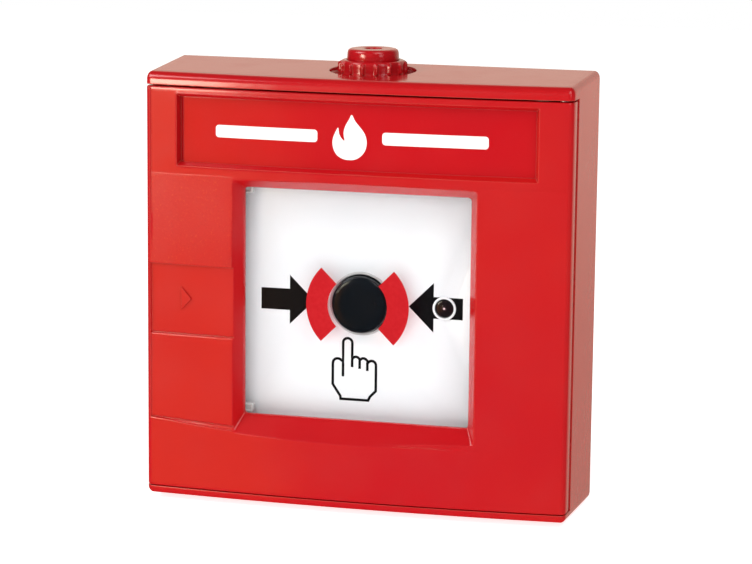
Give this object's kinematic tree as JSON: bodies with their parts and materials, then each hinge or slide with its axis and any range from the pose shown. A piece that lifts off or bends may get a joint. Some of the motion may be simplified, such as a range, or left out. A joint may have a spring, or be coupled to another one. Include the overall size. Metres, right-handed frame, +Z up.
{
  "type": "manual call point",
  "caption": "Square wall-mounted manual call point with a hinged front door, breakable square pane, central push button and a cable gland on top.",
  "frame": {"origin": "centre of the flat back plane, where the housing meets the wall", "axes": "+Z up, front faces -Y, +Y points into the wall, +X to the right seen from the front"},
  "size_m": [0.135, 0.0401, 0.1412],
  "materials": {
    "red_housing": "smooth glossy moulding",
    "red_door": "smooth glossy moulding",
    "red_gland": "smooth glossy moulding",
    "label_red": "smooth printed insert",
    "pane_clear": "clear polished",
    "white_plate": "satin white",
    "button_black": "satin black",
    "grey_plastic": "satin light grey",
    "dark_plastic": "satin dark grey",
    "blue_plastic": "satin blue",
    "clear_clip": "translucent grey",
    "board_green": "solder-resist green",
    "steel": "zinc-plated",
    "spring_steel": "drawn wire",
    "black_rubber": "matt rubber"
  },
  "bodies": {
    "housing": {"back_box": "red_housing", "latch_keeper": "steel", "gland_body": "red_gland", "gland_cap": "red_gland", "gland_seal": "black_rubber", "gland_gasket": "black_rubber", "gland_nut": "dark_plastic", "hinge_pin_top": "steel", "hinge_pin_bottom": "steel", "carrier_frame": "grey_plastic", "carrier_screw_1": "steel", "carrier_screw_2": "steel", "carrier_screw_3": "steel", "carrier_screw_4": "steel", "face_plate": "white_plate", "button_ring": "grey_plastic", "guide_bush": "white_plate", "circuit_board": "board_green", "board_screw_1": "steel", "board_screw_2": "steel", "board_screw_3": "steel", "board_screw_4": "steel", "terminal_block": "blue_plastic", "terminal_screw_1": "steel", "terminal_screw_2": "steel", "terminal_screw_3": "steel", "terminal_screw_4": "steel", "terminal_screw_5": "steel", "terminal_screw_6": "steel", "capacitor": "dark_plastic", "controller_chip": "dark_plastic", "line_choke": "dark_plastic", "led_light_guide": "button_black", "led_ring": "white_plate", "led_chip": "white_plate", "microswitch_body": "dark_plastic", "reset_spring": "spring_steel", "button_spring": "spring_steel"},
    "door": {"door_shell": "red_door", "label_insert": "label_red", "glass_pane": "pane_clear", "pane_clip_top_left": "clear_clip", "pane_clip_top_right": "clear_clip", "pane_clip_bottom_left": "clear_clip", "pane_clip_bottom_right": "clear_clip", "latch_cover": "dark_plastic", "latch_spring": "spring_steel", "pane_retainer_left": "spring_steel", "pane_retainer_right": "spring_steel"},
    "latch": {"latch_bar": "grey_plastic"},
    "button": {"button_cap": "button_black", "button_plunger": "white_plate"},
    "switch_lever": {"microswitch_lever": "steel"},
    "switch_tip": {"microswitch_plunger": "white_plate"},
    "reset": {"reset_slider": "blue_plastic"}
  },
  "joints": [
    {"name": "door_hinge", "type": "hinge", "parent": "housing", "child": "door", "pos_m": [0.0629, -0.0332, 0], "axis": [0, 0, 1], "range_deg": [0, 110]},
    {"name": "latch_slide", "type": "slide", "parent": "door", "child": "latch", "axis": [1, 0, 0], "range_m": [-0.0022, 0], "deforming": ["latch_spring"]},
    {"name": "button_push", "type": "slide", "parent": "housing", "child": "button", "axis": [0, 1, 0], "range_m": [0, 0.003], "stiffness_N_per_m": 800, "springref_m": -0.001, "deforming": ["button_spring"]},
    {"name": "switch_lever_turn", "type": "hinge", "parent": "housing", "child": "switch_lever", "pos_m": [0.017, -0.0126, -0.00375], "axis": [0, 0, -1], "range_deg": [0, 10.2]},
    {"name": "switch_tip_slide", "type": "slide", "parent": "housing", "child": "switch_tip", "axis": [0, 1, 0], "range_m": [0, 0.00061]},
    {"name": "reset_pull", "type": "slide", "parent": "housing", "child": "reset", "axis": [0, 0, -1], "range_m": [0, 0.0015], "stiffness_N_per_m": 300, "springref_m": -0.001, "deforming": ["reset_spring"]}
  ],
  "couplings": [
    {"joint": "switch_lever_turn", "follows": "button_push", "rad_per_m": 58.178},
    {"joint": "switch_tip_slide", "follows": "button_push", "ratio": 0.2}
  ]
}
